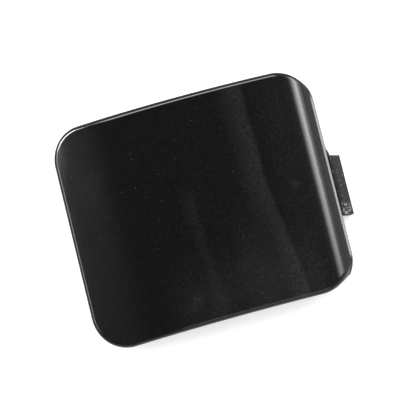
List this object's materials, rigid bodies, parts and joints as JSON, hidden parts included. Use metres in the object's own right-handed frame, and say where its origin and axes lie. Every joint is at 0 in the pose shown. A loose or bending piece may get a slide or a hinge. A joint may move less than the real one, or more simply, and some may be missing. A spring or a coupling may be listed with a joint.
{
  "type": "bumper tow hook cover",
  "caption": "Moulded plastic cap that closes the towing eye opening in a car bumper: crowned panel, rolled side edge, cranked tongue and snap arms.",
  "frame": {"origin": "middle of the bounding box, on the seat plane of the return wall", "axes": "+Z leaves the front face at its crown, +X points to the tongue, +Y runs along the rolled edge"},
  "size_m": [0.0916, 0.076, 0.0222],
  "materials": {
    "black_plastic": "smooth satin black front, raw grained black tongue and back"
  },
  "bodies": {
    "root": {"tow_hook_cover": "black_plastic"}
  },
  "joints": []
}
